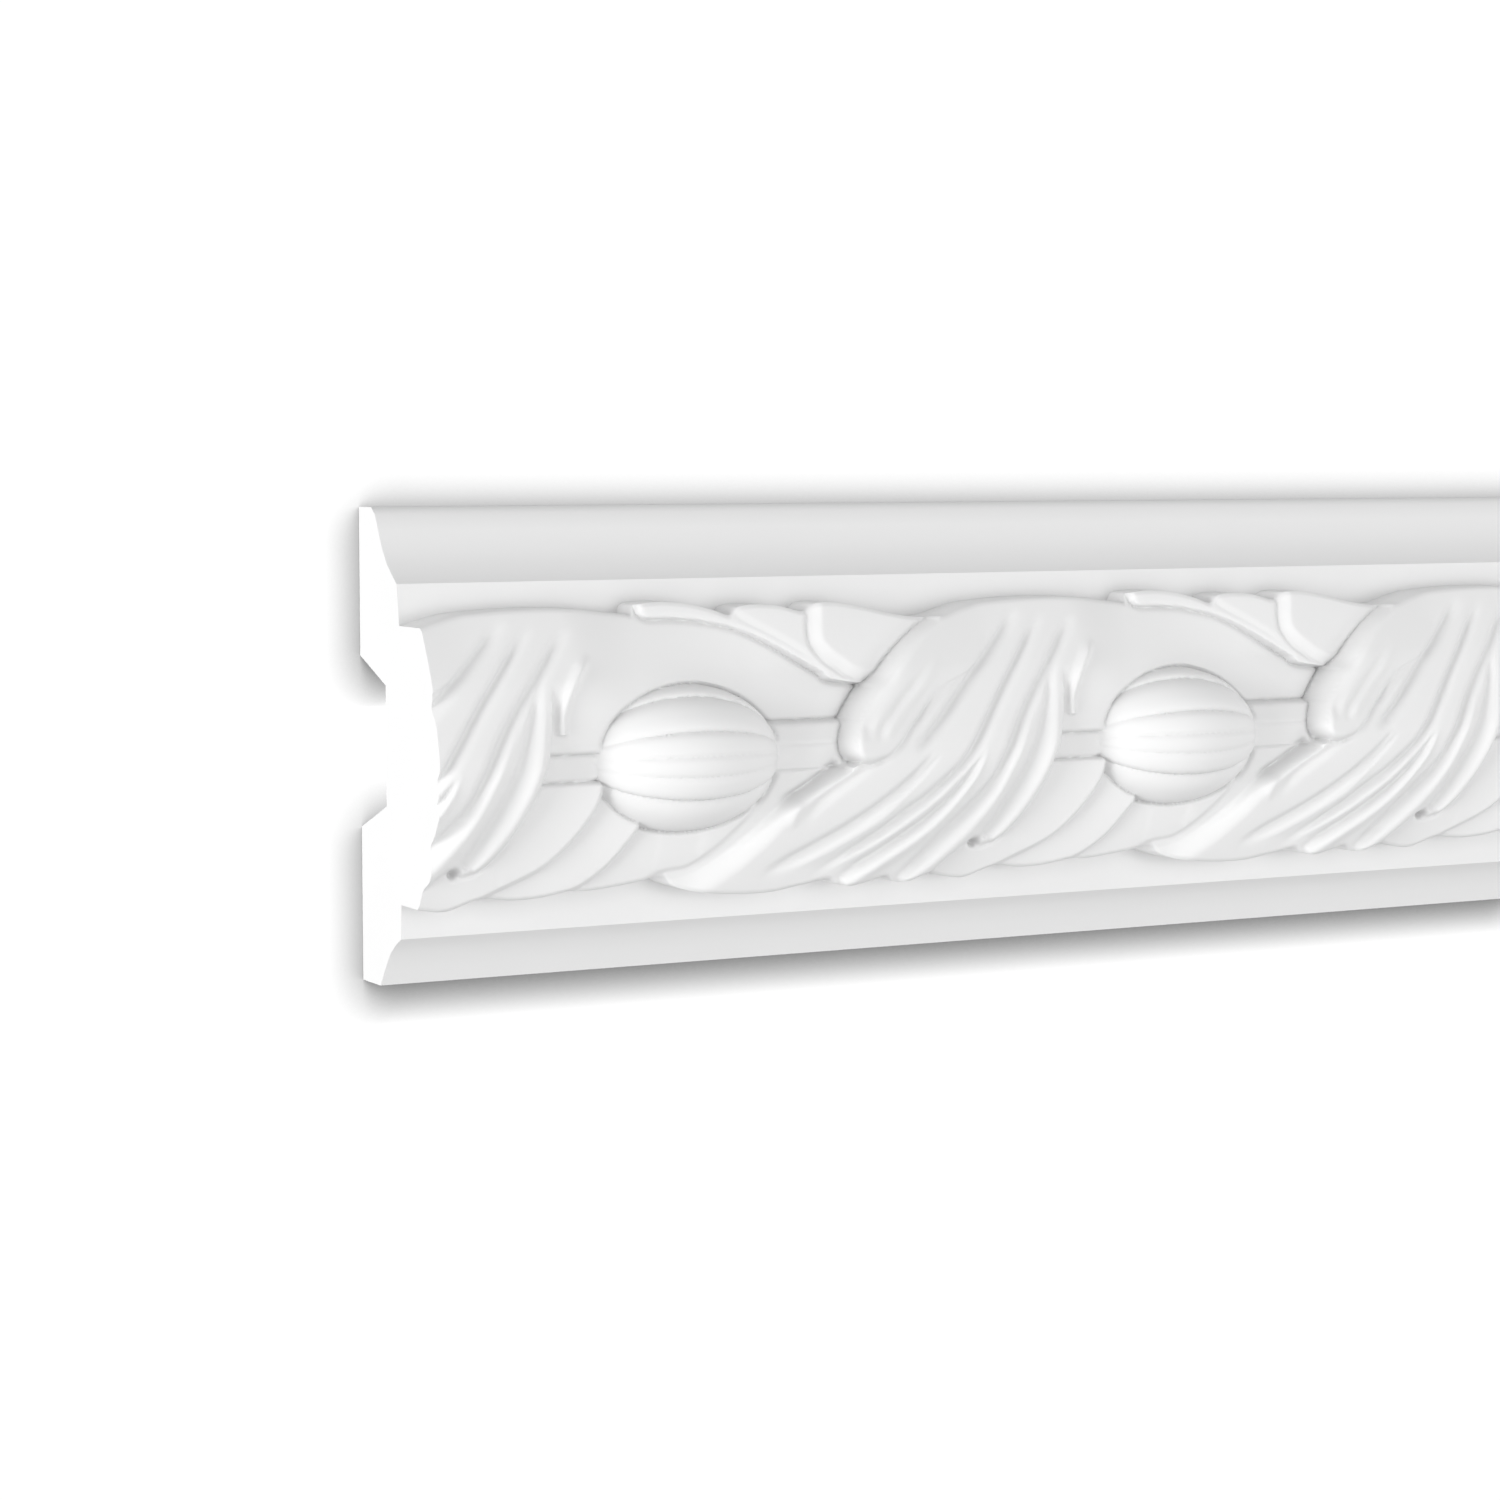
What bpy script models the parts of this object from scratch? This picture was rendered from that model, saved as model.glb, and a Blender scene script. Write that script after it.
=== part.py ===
"""Flexible dado rail: one length of a moulded wall rail, cut square at both ends.

A carved belt of wrapped leaves and ribbed beads runs between two flat bands, with a hollow
moulding above and below and a glue recess along the back. X runs along the rail, the wall is
the plane y = 0, the carving faces -Y and +Z is up. The origin is on the upper back lip, in
the middle of the length, where the rail is glued to its wall.
"""
import bpy
import bmesh
import numpy as np

for old in list(bpy.data.objects):
    bpy.data.objects.remove(old, do_unlink=True)

# Driving sizes in metres
HEIGHT = 0.100
LENGTH = 0.3115
REPEAT = 0.1246

# Depths in front of the wall
TOP_EDGE_DEPTH = 0.0067
TOP_CORNER_DEPTH = 0.0089
TOP_CORNER_DROP = 0.0016
BOTTOM_EDGE_DEPTH = 0.0096
BAND_DEPTH = 0.0213
BAND_LEAN = 0.0011
LEAF_RISE = 0.0210

# Heights of the flat bands, measured in from the top and bottom edges
TOP_COVE_HEIGHT = 0.0155
BOTTOM_COVE_HEIGHT = 0.0111

# Glue recess in the back
UPPER_LIP_HEIGHT = 0.0312
LOWER_LIP_HEIGHT = 0.0326
RECESS_DEPTH = 0.0138
RECESS_CHAMFER = 0.0055

# Fineness of the faceted surface
COLUMNS_PER_REPEAT = 60
ROWS = 28
COVE_STEPS = 5

MOUNT_HEIGHT = HEIGHT - UPPER_LIP_HEIGHT / 2

# The carving is drawn on a sheet with these sizes, and scaled to the rail
SHEET_REPEAT = 124.6
SHEET_HEIGHT = 100.0
SHEET_BAND = 21.3
SHEET_LEAF_RISE = 21.0

# Sheet places and widths that several leaves share: the rod's middle, the steep wall along a
# leaf's edge, and the narrowest groove that the faces can show
MIDDLE = 0.47 * SHEET_HEIGHT
EDGE = 0.017 * SHEET_HEIGHT
NARROWEST = 0.022 * SHEET_HEIGHT

# Where the bands' front faces reach their full depth, as shares of the height
BELT_TOP = 0.77
BELT_BOTTOM = 0.18


def spline(*points, steps=6):
    """Smooth line through the given points."""
    p = np.array(points, float)
    p = np.vstack([2 * p[0] - p[1], p, 2 * p[-1] - p[-2]])
    t = np.linspace(0, 1, steps, endpoint=False)[:, None]
    runs = []
    for a, b, c, d in zip(p, p[1:], p[2:], p[3:]):
        runs.append(b + (c - a) * t / 2 + (a - 2.5 * b + 2 * c - d / 2) * t**2
                    + (1.5 * b - a / 2 - 1.5 * c + d / 2) * t**3)
    return np.vstack(runs + [p[-2:-1]])


def smooth(x):
    """Soft step from 0 at x = 0 to 1 at x = 1."""
    x = np.clip(x, 0, 1)
    return x * x * (3 - 2 * x)


def beside(line, u, v):
    """Distance to a line, positive on its left side, and the share of the line passed there."""
    nearest = np.full(u.shape, np.inf)
    side = np.ones(u.shape)
    along = np.zeros(u.shape)
    passed = 0.0
    for a, b in zip(line, line[1:]):
        e = b - a
        length = np.hypot(*e)
        t = np.clip(((u - a[0]) * e[0] + (v - a[1]) * e[1]) / length**2, 0, 1)
        away = np.hypot(u - a[0] - t * e[0], v - a[1] - t * e[1])
        closer = away < nearest
        nearest = np.where(closer, away, nearest)
        side = np.where(closer, np.where(e[0] * (v - a[1]) > e[1] * (u - a[0]), 1.0, -1.0), side)
        along = np.where(closer, passed + t * length, along)
        passed += length
    return nearest * side, along / passed


def within(outline, u, v):
    """Distance to a closed outline, positive inside it."""
    ring = np.vstack([outline, outline[:1]])
    away, _ = beside(ring, u, v)
    inside = np.zeros(u.shape, bool)
    for a, b in zip(ring, ring[1:]):
        crosses = (a[1] > v) != (b[1] > v)
        rise = b[1] - a[1] if b[1] != a[1] else 1.0
        inside ^= crosses & (u < a[0] + (v - a[1]) * (b[0] - a[0]) / rise)
    return np.where(inside, abs(away), -abs(away))


def copies(u):
    """The same place as seen from this repeat, the one before and the one after."""
    return [u + SHEET_REPEAT, u, u - SHEET_REPEAT]


def lay(d, u, v, outline, surface):
    """Lays a lobe over what is there, with a steep edge."""
    for x in copies(u):
        depth_in = within(outline, x, v)
        cover = smooth(depth_in / EDGE + 0.5)
        d = d + (surface(x, v, depth_in) - d) * cover
    return d


def stroke(d, u, v, points, rise, width, shift=0.0, start=1.0, fade=(0.2, 0.2)):
    """Raises a rounded ridge beside a line, or cuts a groove where the rise is below zero.

    Its middle lies to the right of the line by the shift, and it starts at a share of its rise."""
    line = spline(*points)
    width = max(width, NARROWEST)
    for x in copies(u):
        away, along = beside(line, x, v)
        if line[-1, 1] > line[0, 1]:
            away = -away
        grown = start + (1 - start) * smooth(along / 0.6)
        ends = smooth(along / fade[0]) * smooth((1 - along) / fade[1])
        d = d + rise * grown * ends * np.exp(-((away - shift * grown) / width)**2)
    return d


def crown(v):
    """Round front of the wrapped leaves."""
    return 42.3 - 0.056 * abs(v - MIDDLE)**1.55


def bed(v):
    """Flatter front of what lies between the wrapped leaves."""
    return 38.8 - 0.0105 * (v - MIDDLE)**2


def top_contour(u):
    """Upper outline of the carved belt."""
    line = spline((47.5, 77.6), (49.3, 77.4), (50.6, 79.5), (56, 80), (62, 79.5), (68, 78.1),
                  (71.8, 76.9), (74, 78.5), (78, 79), (84, 78.6), (89.6, 77.3), (92.5, 78.9),
                  (97, 79.1), (104, 78), (112, 76.3), (119, 75.4), (124, 75.8), (129, 77.2),
                  (135, 78.4), (148, 79.2), (160, 79), (167, 78.2), (172.1, 77.6), (173.9, 77.4))
    return np.interp((u - 48) % SHEET_REPEAT + 48, line[:, 0], line[:, 1])


def bottom_contour(u):
    """Lower outline of the carved belt."""
    line = spline((50, 21.4), (52.5, 21.9), (57, 20.3), (63, 18.5), (70, 17.6), (80, 17.3),
                  (88, 18.5), (94.3, 19.6), (97, 18.2), (101, 17.7), (105, 18.4), (109.2, 19.3),
                  (111.5, 17.9), (115, 17.8), (120, 19.2), (126, 18), (131, 17.5), (137.5, 19.7),
                  (146, 18.9), (152, 19.2), (157.5, 20.2), (163, 19.9), (170, 20.7),
                  (174.6, 21.4), (177.1, 21.9))
    return np.interp((u - 51) % SHEET_REPEAT + 51, line[:, 0], line[:, 1])


def long_leaf(u, v):
    """Long leaf blade over the bead, sinking towards the next wrapped leaf."""
    d = bed(v)
    for x in copies(u):
        sink = 5.0 * smooth((x - 45) / 35) * smooth((78 - v) / 14) * (x < 130) * (v > MIDDLE)
        rise = (crown(v) - bed(v)) * smooth((48 - x) / 16) * smooth((v - 56) / 9) * (x > -10)
        d = d - sink + rise
    return d


def lower_lobes(d, u, v):
    """Three lobes below the rod, each overlapping the next."""
    lip, dip = 0.9, 1.4
    edges = [spline((31, 19), (35.5, 21), (38.5, 23), (41.7, 26), (44.8, 30), (46.9, 33),
                    (48.5, 36)),
             spline((11, 18.5), (17, 21.4), (25, 25.2), (30, 29.3), (34, 34), (36.6, 38),
                    (37.6, 40.5), (38.2, 43.5))]
    for edge in edges:
        for x in copies(u):
            away, _ = beside(edge, x, v)
            near = (v < 45) & (abs(x - 30) < 24)
            lobe = lip * np.exp(-np.clip(away, 0, None) / 5) * smooth(away / 1.2)
            hollow = -dip * np.exp(-np.clip(-away, 0, None) / 6) * smooth(-away / 0.8)
            d = d + np.where(near, np.where(away > 0, lobe, hollow), 0)
    return d


def rod(d, u, v):
    """Eight-sided rod that carries the beads, seen where no leaf covers it."""
    front, slope = 37.6, 0.35
    low, high, corner = 43.3, 49.8, 54.4
    face = front - slope * np.clip(v - high, 0, None)
    for x in copies(u):
        for start, end, top in ((10, 58, high), (58, 100, corner)):
            d = np.where((x > start) & (x < end) & (v > low) & (v < top), face, d)
    return d


def upper_fingers(d, u, v):
    """Three leaf fingers that reach out from behind the next wrapped leaf."""
    out, slope, top = 29.7, 0.24, 78.0
    lowest = spline((50.6, 79), (50.9, 77.4), (52.4, 76.6), (57, 76.5), (63, 76.1), (71, 74.6),
                    (76.2, 72.9), (81.7, 70.4), (87, 67.5), (92.5, 64.4), (97, 62.2), (120, 61))
    middle = spline((73.4, 79), (73.6, 77.2), (75, 76), (81, 72.9), (86.2, 70), (91.5, 66.5),
                    (96.5, 63.4), (102, 61.5), (120, 60))
    last = spline((91.1, 80), (90.8, 76.9), (90.3, 73.9), (90.7, 70.3), (93.2, 67.2), (96, 65.2),
                  (99.6, 62.9), (106, 61), (120, 60.5))
    for line, lift, lean, drop, rounding in ((lowest, 0.7, 0, 0.7, 1.4), (middle, 0.9, 0, 0.4, 1.6),
                                             (last, 1.9, 0.07, 1.3, 3.6)):
        outline = np.vstack([line, [(140, 84), (line[0, 0], 84)]])
        d = lay(d, u, v, outline, lambda x, v, held: out + (top - v) * slope + lift
                - lean * (x - line[0, 0]) - drop * smooth(1 - held / rounding))
    return d


def wrapped_leaf(d, u, v):
    """Fluted leaf that winds across the rod, rising from its tip at the lower left."""
    tip_rise_width = 8.5
    lean = 0.04
    tongue_wall = 2.0
    tip = spline((51, 21.9), (56, 22.8), (59.8, 23.3), (62.4, 24.5), (66.6, 27.5), (69.7, 30.3),
                 (72.9, 33.5), (75.3, 36.7), (77.5, 40.4), (78.7, 44))
    tongue = spline((50, 20.3), (60, 22.2), (66, 25.2), (72, 28.9), (76, 32), (80, 35.4),
                    (84, 38.1), (88.7, 40.9), (94.8, 44.2))
    right = spline((151.6, 66), (151, 58), (150.2, 50), (148.6, 44), (145.9, 38), (142.2, 31.6),
                   (138.4, 27.2), (135, 25), (132, 24.5), (130.9, 25.6), (129.4, 25.8),
                   (125.9, 23.4), (122, 19.8), (118, 14))

    def surface(x, v, held):
        from_tip, _ = beside(tip, x, v)
        from_tongue, _ = beside(tongue, x, v)
        ramp = smooth(-from_tip / tip_rise_width) * smooth(0.5 - from_tongue / tongue_wall)
        ramp = np.where(x > 94, 1.0, ramp)
        low = bed(v) - 0.5
        round_edge = 0.9 * smooth(1 - held / 2) * (x > 100) * smooth((58 - v) / 8)
        high = crown(v) + (0.6 - lean * np.clip(x - 105, 0, None)) * smooth((66 - v) / 14)
        return low + (high - low) * ramp - round_edge

    d = lay(d, u, v, np.vstack([tip, tongue[-1:], [(108, 60), (130, 84), (160, 84)], right,
                                [(52, 14)]]), surface)
    return flutes(d, u, v)


def flutes(d, u, v):
    """Grooves and ridges that follow the leaf from its top edge down to its tips."""
    groove, ridge = -1.5, 1.0
    top, foot = (0.1, 0.1), (0.4, 0.02)
    for line, rise, width, shift, start, fade in (
            (((116, 48.5), (111, 43.3), (106, 39.2), (100, 35), (94, 31.4), (88, 28.3), (82, 25.3),
              (76, 22)), groove, 1.3, 1.2, 0.7, top),
            (((149.4, 77), (139.2, 66.7), (129.2, 54), (121.9, 44.3), (114, 37.8), (104, 31),
              (96, 26), (87, 21.3)), groove, 1.3, 1.3, 0.6, top),
            (((129.5, 48.3), (125, 42.3), (120, 37), (115, 32.8), (110, 29.4), (105, 26.2),
              (100, 23.4), (94.5, 20)), groove, 1.3, 1.2, 0.6, top),
            (((158.6, 76), (148.5, 67), (142.5, 60), (137.9, 53.3), (133.7, 45.3), (130.8, 40),
              (125, 34), (120, 29), (115, 23.2), (109.5, 18.5)), groove, 1.5, 1.2, 0.65, top),
            (((149, 67), (146.5, 60), (144.3, 54), (142, 48.5), (139.5, 43), (136.5, 37.5),
              (133.5, 32), (130.5, 26.5)), groove, 1.7, 1.4, 0.5, top),
            (((102, 44.8), (97.5, 41.7), (93.5, 38.7), (89.3, 35.3), (86, 31.8), (84, 28)),
             groove / 2, 1.7, 0, 0.6, (0.3, 0.3)),
            (((95.2, 44.6), (89.2, 41.3), (84.5, 38.5), (80.5, 35.8), (77, 32.8)),
             groove, 1.1, 0, 1.0, (0.1, 0.3)),
            (((129.8, 48.5), (127, 42.3), (123, 37.2), (118, 32), (112, 27.3), (105, 22.8),
              (98, 18)), ridge, 1.8, 0.8, 0.4, foot),
            (((147, 66), (142.5, 56.5), (138.3, 48.5), (134.5, 41.5), (131, 35), (126, 28.5),
              (120, 22.8), (113, 17.5)), ridge, 1.8, 0.8, 0.2, foot),
            (((150, 66), (148.9, 57.5), (147.5, 51), (145.3, 44.5), (142.3, 38), (138.4, 32),
              (133.5, 26.5)), ridge, 1.6, 0.8, 0.2, foot)):
        d = stroke(d, u, v, line, rise, width, shift, start, fade)
    return d


def fold(d, u, v):
    """Edge of the leaf turned over to the left, the nearest part of the carving."""
    lift, upper_lift, lean, curl, rounding = 2.1, 1.5, 0.1, 1.0, 2.0
    outline = np.vstack([
        spline((124, 80), (123, 77), (122, 75.2), (117, 72.6), (112.6, 69.5), (108.5, 66),
               (105.6, 63), (102.8, 60.8), (100.1, 58), (97.7, 55), (95.9, 52), (95, 49.4),
               (95.4, 47.2), (96.7, 45.6), (100, 44.8), (104, 45.4), (108, 47.1), (112, 49.6),
               (115, 51.8), (120, 56.5), (125, 61), (130, 65.7), (135, 70.7), (140, 74.7),
               (145, 78.2)), [(146, 84), (124, 84)]])
    d = lay(d, u, v, outline, lambda x, v, held: crown(v) + lift
            + upper_lift * smooth((v - 56) / 10) - lean * (x - 97) + curl * np.exp(-abs(x - 95) / 10)
            - 0.8 * smooth(1 - held / rounding)**2)
    gutter = ((100, 48.5), (98, 51.5), (99.5, 57), (103.5, 61.4), (109, 65.8), (115, 70),
              (121, 73.5))
    midrib = ((103, 49), (108, 54), (113, 58.8), (119, 64), (125, 69))
    d = stroke(d, u, v, gutter, -0.5, 1.4)
    return stroke(d, u, v, midrib, 0.5, 1.2)


def bead(d, u, v):
    """Ribbed bead threaded on the rod."""
    middle, half_length, radius, height, axis = 58.2, 23.5, 16.0, 47.2, 31.0
    rib_round = 0.09
    creases = np.radians([-90, -29.6, -10.8, 4.6, 23.6, 56.6, 90])
    for x in copies(u):
        r = radius * np.sqrt(np.clip(1 - ((x - middle) / half_length)**2, 0, 1))
        sine = np.clip((v - height) / np.maximum(r, 1e-6), -1, 1)
        turn = np.arcsin(sine)
        for low, high in zip(creases, creases[1:]):
            across = abs(2 * (turn - low) / (high - low) - 1)
            r = np.where(across <= 1, r * (1 - rib_round * (high - low) * across**3), r)
        out = axis + np.sqrt(np.clip(r**2 - (v - height)**2, 0, None))
        d = np.where(abs(v - height) < r, np.maximum(d, out), d)
    return d


def carving(u, v):
    """Depth of the carved belt at each place of the sheet, in sheet units from the wall."""
    edge_round, edge_drop = 1.0, 0.6
    d = long_leaf(u, v)
    d = lower_lobes(d, u, v)
    d = rod(d, u, v)
    d = upper_fingers(d, u, v)
    d = wrapped_leaf(d, u, v)
    d = bead(d, u, v)
    d = fold(d, u, v)
    crescent = ((152.9, 53.2), (153.1, 57), (154.1, 60.5), (155.9, 64), (158.6, 67.4), (161.8, 69.8))
    d = stroke(d, u, v, crescent, 0.7, 1.0)
    to_foot, to_top = v - bottom_contour(u), top_contour(u) - v
    return d - edge_drop * (smooth(1 - to_top / edge_round) + smooth(1 - to_foot / edge_round))


def to_rail(u, v, d):
    """Sheet place and depth to metres along the rail, out of the wall and up."""
    along = u * REPEAT / SHEET_REPEAT - LENGTH / 2
    out = BAND_DEPTH + (d - SHEET_BAND) * LEAF_RISE / SHEET_LEAF_RISE
    up = v * HEIGHT / SHEET_HEIGHT - MOUNT_HEIGHT
    return along, -out, up


def carved_grid():
    """Grid of points over the whole length of the belt, columns first."""
    sheet_length = LENGTH * SHEET_REPEAT / REPEAT
    columns = round(COLUMNS_PER_REPEAT * LENGTH / REPEAT)
    u = np.linspace(0, sheet_length, columns + 1)
    share = np.linspace(0, 1, ROWS + 1)
    low, high = bottom_contour(u), top_contour(u)
    v = low[:, None] + (high - low)[:, None] * share[None, :]
    u = np.repeat(u[:, None], ROWS + 1, axis=1)
    x, y, z = to_rail(u, v, carving(u % SHEET_REPEAT, v))
    return np.stack([x, y, z], axis=2)


def bend(start, pull, end, steps):
    """Points of a hollow curve between two corners, pulled towards a third."""
    t = np.linspace(0, 1, steps + 1)[:, None]
    start, pull, end = (np.array(p) for p in (start, pull, end))
    return (1 - t)**2 * start + 2 * t * (1 - t) * pull + t**2 * end


def upper_profile():
    """Depth and height from the upper band's outer edge over the top and down the back."""
    outer = BAND_DEPTH - BAND_LEAN
    corner = HEIGHT - TOP_CORNER_DROP
    band_top = HEIGHT - TOP_COVE_HEIGHT
    pull = (TOP_CORNER_DEPTH + 0.27 * (outer - TOP_CORNER_DEPTH), band_top + 0.38 * (corner - band_top))
    cove = bend((outer, band_top), pull, (TOP_CORNER_DEPTH, corner), COVE_STEPS)
    lip = HEIGHT - UPPER_LIP_HEIGHT
    back = [(TOP_EDGE_DEPTH, HEIGHT), (0, HEIGHT), (0, lip), (RECESS_DEPTH, lip - RECESS_CHAMFER)]
    return [tuple(p) for p in cove] + back


def lower_profile():
    """Depth and height from the recess down the back and up to the lower band's outer edge."""
    outer = BAND_DEPTH - BAND_LEAN / 3
    pull = (BOTTOM_EDGE_DEPTH + 0.21 * (outer - BOTTOM_EDGE_DEPTH), 0.49 * BOTTOM_COVE_HEIGHT)
    cove = bend((BOTTOM_EDGE_DEPTH, 0), pull, (outer, BOTTOM_COVE_HEIGHT), COVE_STEPS)
    back = [(RECESS_DEPTH, LOWER_LIP_HEIGHT + RECESS_CHAMFER), (0, LOWER_LIP_HEIGHT), (0, 0)]
    return back + [tuple(p) for p in cove]


def band_depth(z, edge, height):
    """Depth of a flat band at height z, where it leans back towards its outer edge."""
    depth, at = edge
    return depth + (BAND_DEPTH - depth) * (z - at) / (height - at)


def build_rail():
    """One closed solid: carved front, two bands, plain profile strips and square ends."""
    bm = bmesh.new()
    grid = carved_grid()
    front = [[bm.verts.new(p) for p in column] for column in grid]
    upper, lower = upper_profile(), lower_profile()

    def foot(row, edge, inner_height):
        """Line where the belt's side wall meets the flat band."""
        line = []
        for x, _, z in grid[:, row]:
            depth = band_depth(z + MOUNT_HEIGHT, edge, inner_height)
            line.append(bm.verts.new((x, -depth, z)))
        return line

    top_foot = foot(ROWS, upper[0], BELT_TOP * HEIGHT)
    bottom_foot = foot(0, lower[-1], BELT_BOTTOM * HEIGHT)
    ends = []
    for x in (-LENGTH / 2, LENGTH / 2):
        ends.append([bm.verts.new((x, -depth, z - MOUNT_HEIGHT)) for depth, z in upper + lower])
    left, right = ends

    for a, b in zip(front, front[1:]):
        for j in range(ROWS):
            quad = (a[j], b[j], b[j + 1], a[j + 1])
            rising = abs(quad[0].co.y - quad[2].co.y) < abs(quad[1].co.y - quad[3].co.y)
            first = 0 if rising else 1
            bm.faces.new((quad[first], quad[first + 1], quad[first + 2]))
            bm.faces.new((quad[first + 2], quad[(first + 3) % 4], quad[first]))
    for i in range(len(front) - 1):
        bm.faces.new((front[i][ROWS], front[i + 1][ROWS], top_foot[i + 1], top_foot[i]))
        bm.faces.new((bottom_foot[i], bottom_foot[i + 1], front[i + 1][0], front[i][0]))
    bm.faces.new(top_foot + [right[0], left[0]])
    bm.faces.new([left[-1], right[-1]] + bottom_foot[::-1])
    for i in range(len(left) - 1):
        bm.faces.new((left[i], right[i], right[i + 1], left[i + 1]))
    for end, k in ((left, 0), (right, -1)):
        bm.faces.new([bottom_foot[k]] + front[k] + [top_foot[k]] + end)

    bmesh.ops.recalc_face_normals(bm, faces=bm.faces)
    mesh = bpy.data.meshes.new("dado_rail")
    bm.to_mesh(mesh)
    bm.free()
    rail = bpy.data.objects.new("dado_rail", mesh)
    bpy.context.scene.collection.objects.link(rail)
    return rail


def primed_foam():
    """White primed moulded polyurethane."""
    material = bpy.data.materials.new("primed_polyurethane")
    material.use_nodes = True
    shader = material.node_tree.nodes["Principled BSDF"]
    shader.inputs["Base Color"].default_value = (0.86, 0.86, 0.86, 1)
    shader.inputs["Roughness"].default_value = 0.55
    shader.inputs["Metallic"].default_value = 0.0
    return material


dado_rail = build_rail()
dado_rail.data.materials.append(primed_foam())
dado_rail.data.shade_smooth()
dado_rail.data.set_sharp_from_angle(angle=np.radians(35))
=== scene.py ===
"""Dado rail on a white wall: one length of primed polyurethane moulding, carved along its front.

The carving is drawn on a flat sheet in millimetres: u runs along the rail, v up its face, and
depth is how far the surface stands off the wall. One repeat is drawn leaf by leaf, laid out along
the rail and closed with the plain mouldings, the back and the two sawn ends.
"""

import bmesh
import bpy
import numpy as np
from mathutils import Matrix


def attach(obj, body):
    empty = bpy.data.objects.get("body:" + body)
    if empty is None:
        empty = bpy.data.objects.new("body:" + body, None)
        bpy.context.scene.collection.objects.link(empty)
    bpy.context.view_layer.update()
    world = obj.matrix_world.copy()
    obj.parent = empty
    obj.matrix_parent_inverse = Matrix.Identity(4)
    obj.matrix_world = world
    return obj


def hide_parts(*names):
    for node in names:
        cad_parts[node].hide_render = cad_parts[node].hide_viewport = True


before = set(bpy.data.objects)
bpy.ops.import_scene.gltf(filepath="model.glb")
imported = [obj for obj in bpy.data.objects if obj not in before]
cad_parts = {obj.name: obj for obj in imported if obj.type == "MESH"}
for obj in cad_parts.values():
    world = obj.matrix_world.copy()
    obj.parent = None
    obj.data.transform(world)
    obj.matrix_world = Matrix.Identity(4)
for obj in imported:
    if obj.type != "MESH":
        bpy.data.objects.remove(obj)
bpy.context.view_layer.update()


# Camera: a long lens, standing to the left of the rail and a little above it, looking down a touch.
# The rail's left end is near the middle of the picture and its right end runs out of it.
camera_data = bpy.data.cameras.new("camera")
camera_data.sensor_width = 36.0
camera_data.lens = 84.49
camera_data.clip_start = 0.05
camera = bpy.data.objects.new("camera", camera_data)
camera.location = (-0.43379, -0.68991, 0.02809)
camera.rotation_euler = np.radians((90 - 4.922, 0.0, -28.276))
bpy.context.scene.collection.objects.link(camera)
bpy.context.scene.camera = camera


# Blank of the belt: the strip between the two flat bands that the carver worked on.
# Its long edges follow the leaves, so every column of the sheet runs from the lower edge of the
# leaves to the upper one. The sheet is one repeat long and closes on itself.
REPEAT = 124.6
COLUMNS = 356
ROWS = 176
BAND_DEPTH = 21.3
ROD_HEIGHT = 47.0


def spline(*points, steps=6):
    """Smooth line through the given points."""
    p = np.array(points, float)
    p = np.vstack([2 * p[0] - p[1], p, 2 * p[-1] - p[-2]])
    t = np.linspace(0, 1, steps, endpoint=False)[:, None]
    runs = []
    for a, b, c, d in zip(p, p[1:], p[2:], p[3:]):
        runs.append(b + (c - a) * t / 2 + (a - 2.5 * b + 2 * c - d / 2) * t**2
                    + (1.5 * b - a / 2 - 1.5 * c + d / 2) * t**3)
    return np.vstack(runs + [p[-2:-1]])


def soft(x):
    """Soft step from 0 at x = 0 to 1 at x = 1."""
    x = np.clip(x, 0, 1)
    return x * x * (3 - 2 * x)


upper_edge = spline((47.5, 77.6), (49.3, 77.4), (50.6, 79.5), (56, 80), (62, 79.5), (68, 78.1),
                    (71.8, 76.9), (74, 78.5), (78, 79), (84, 78.6), (89.6, 77.3), (92.5, 78.9),
                    (97, 79.1), (104, 78), (112, 76.3), (119, 75.4), (124, 75.8), (129, 77.2),
                    (135, 78.4), (148, 79.2), (160, 79), (167, 78.2), (172.1, 77.6), (173.9, 77.4))
lower_edge = spline((50, 21.4), (53, 22), (55.4, 22.1), (57.2, 20.4), (59.5, 19.4), (63, 18.5),
                    (70, 17.6), (80, 17.3), (88, 18.5), (94.3, 19.6), (97, 18.2), (101, 17.7),
                    (105, 18.4), (109.2, 19.3), (111.5, 17.9), (115, 17.8), (120, 19.2), (126, 18),
                    (131, 17.5), (137.5, 19.7), (146, 18.9), (152, 19.2), (157.5, 20.2),
                    (163, 19.9), (170, 20.7), (174.6, 21.4), (177.1, 21.9))
column_u = np.arange(COLUMNS) * REPEAT / COLUMNS
column_top = np.interp((column_u - 48) % REPEAT + 48, *upper_edge.T)
column_foot = np.interp((column_u - 51) % REPEAT + 51, *lower_edge.T)
row_share = np.linspace(0, 1, ROWS + 1)
v = column_foot[:, None] + (column_top - column_foot)[:, None] * row_share
u = np.repeat(column_u[:, None], ROWS + 1, axis=1)


def near(line, reach):
    """Places of the sheet near a line, which may start in the repeat before or after this one."""
    low, high = line.min(axis=0) - reach, line.max(axis=0) + reach
    for x in (u + REPEAT, u, u - REPEAT):
        there = (x > low[0]) & (x < high[0]) & (v > low[1]) & (v < high[1])
        if there.any():
            yield there, x[there], v[there]


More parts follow.
